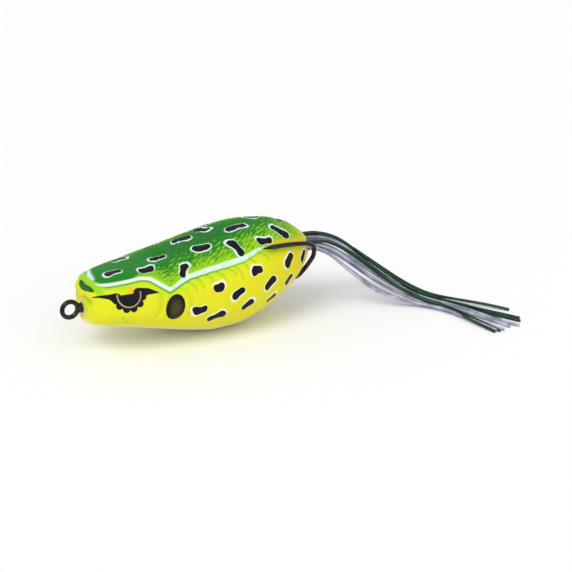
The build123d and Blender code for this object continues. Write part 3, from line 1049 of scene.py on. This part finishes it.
def strand_mesh(name, path, radius):
    """Round strand along the path, chamfered at its cut ends; returns the object and its length."""
    rings = []
    up = Vector((0, 0, 1))
    for index, point in enumerate(path):
        tangent = heading(path, index)
        side = up.cross(tangent).normalized()
        up = tangent.cross(side).normalized()
        rings.append((point, side, up, radius))
    chamfer = radius * CUT_CHAMFER
    head, *head_axes, _ = rings[0]
    tail, *tail_axes, _ = rings[-1]
    rings[0] = (head - (path[0] - path[1]).normalized() * chamfer, *head_axes, radius)
    rings[-1] = (tail - (path[-1] - path[-2]).normalized() * chamfer, *tail_axes, radius)
    rings = [(head, *head_axes, radius - chamfer), *rings, (tail, *tail_axes, radius - chamfer)]
    points = []
    for centre, side, up, size in rings:
        for step in range(STRAND_SIDES):
            angle = 2 * math.pi * step / STRAND_SIDES
            points.append((centre + side * size * math.cos(angle) + up * size * math.sin(angle)) / MM)
    faces = ring_faces(len(rings), STRAND_SIDES)
    faces.append(tuple(range(STRAND_SIDES)))
    last_row = (len(rings) - 1) * STRAND_SIDES
    faces.append(tuple(last_row + i for i in range(STRAND_SIDES))[::-1])
    obj = mesh_object(name, [tuple(point) for point in points], faces)
    shade_smooth(obj, STRAND_SHARP)
    return obj, sum((b - a).length for a, b in zip(path, path[1:]))


def silicone(name, colour, shade, glow):
    """Glossy strand silicone: a tint that varies along the strand, with faint flakes."""
    shader = Shader(name, Roughness=0.2, IOR=1.43, Specular_IOR_Level=0.42, Subsurface_Weight=glow,
                    Subsurface_Scale=0.0006)
    shader.surface.inputs["Subsurface Radius"].default_value = (1.0, 1.0, 1.0)
    where = shader.place()
    tone = shader.noise(where, 0.3)
    flakes = shader.cells(where, 2.6, 0.1)
    base = shader.mix(shader.ramp(tone, 0.3, 0.7), colour, shade)
    shader.colour(shader.mix(shader.ramp(flakes, 0.22, 0.12, 0.0, 0.35), base, shade))
    shader.bump(shader.noise(where, 0.9), 0.12, 0.0001)
    return shader.material


def skirt_legs():
    green = silicone("green_silicone", *GREEN_SILICONE)
    pale = silicone("pale_silicone", *PALE_SILICONE)
    for leg, side, route, lays, hang_place in LEGS:
        for number in STRANDS:
            index = number + 4
            name = f"{leg}_skirt_{index}"
            controls = loose_route(route, number, lays[index - 1], side, hang_place)
            path = spline_points(name, controls)
            obj, length = strand_mesh(name, path, STRAND_R * MM)
            is_green = index in GREEN_STRANDS[leg]
            obj.data.materials.append(green if is_green else pale)
            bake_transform(obj)
            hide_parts(f"{leg}_strand_{index}")


# ---- metal and rubber pieces carried over from the frame --------------------------------------
def finish_node(node, material):
    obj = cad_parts[node]
    obj.data.materials.clear()
    obj.data.materials.append(material)


def black_nickel():
    shader = Shader("black_nickel", Metallic=1.0)
    where = shader.place()
    tone = shader.noise(where, 0.42)
    shader.colour(shader.mix(shader.ramp(tone, 0.3, 0.7), *NICKEL))
    shader.roughness(shader.ramp(shader.noise(where, 0.9), 0.2, 0.8, 0.14, 0.28))
    shader.bump(shader.noise(shader.place((3.0, 0.4, 0.4)), 1.0), 0.08, 0.00005)
    return shader.material


def plain_piece(name, colour, shade, roughness, metallic=0.0):
    shader = Shader(name, Metallic=metallic)
    where = shader.place()
    shader.colour(shader.mix(shader.ramp(shader.noise(where, 0.5), 0.3, 0.7), colour, shade))
    shader.roughness(shader.ramp(shader.noise(where, 0.8), 0.2, 0.8, roughness - 0.06, roughness + 0.06))
    shader.bump(shader.noise(where, 1.5), 0.15, 0.0001)
    return shader.material


def hard_pieces():
    finish_node("double_hook", black_nickel())
    finish_node("keel_weight", plain_piece("weight_metal", *WEIGHT_BRASS))
    finish_node("nose_seal", plain_piece("nose_seal", *SEAL_RUBBER))
    for leg in ("left", "right"):
        finish_node(f"{leg}_leg_band", plain_piece("band_rubber", *BAND_RUBBER))


# ---- floor and light -------------------------------------------------------------------------
def add_stage():
    low = CAD_BOX[0][2]
    corners = [(-1, -1), (1, -1), (1, 1), (-1, 1)]
    mesh = bpy.data.meshes.new("floor")
    mesh.from_pydata([(x * FLOOR_HALF, y * FLOOR_HALF, low) for x, y in corners], [], [(0, 1, 2, 3)])
    floor = bpy.data.objects.new("floor", mesh)
    bpy.context.scene.collection.objects.link(floor)
    shader = Shader("floor", Roughness=0.7, Specular_IOR_Level=0.2)
    tone = shader.noise(shader.place(), 0.003)
    shader.colour(shader.mix(shader.ramp(tone, 0.0, 1.0), *FLOOR_WHITE))
    mesh.materials.append(shader.material)


def add_light():
    """White studio: an even sky, a soft key from the front and the left, and a weaker fill."""
    world = bpy.data.worlds.new("studio")
    bpy.context.scene.world = world
    world.use_nodes = True
    background = next(n for n in world.node_tree.nodes if n.type == "BACKGROUND")
    background.inputs["Color"].default_value = (1.0, 1.0, 1.0, 1.0)
    background.inputs["Strength"].default_value = SKY
    for name, strength, spread, towards in LAMPS:
        data = bpy.data.lights.new(name, "SUN")
        data.energy = strength
        data.angle = math.radians(spread)
        light = bpy.data.objects.new(name, data)
        light.rotation_euler = Vector(towards).to_track_quat("Z", "Y").to_euler()
        bpy.context.scene.collection.objects.link(light)
    bpy.context.scene.view_settings.view_transform = "Standard"


add_camera()
skirt_legs()
body_skin()
hard_pieces()
add_stage()
add_light()
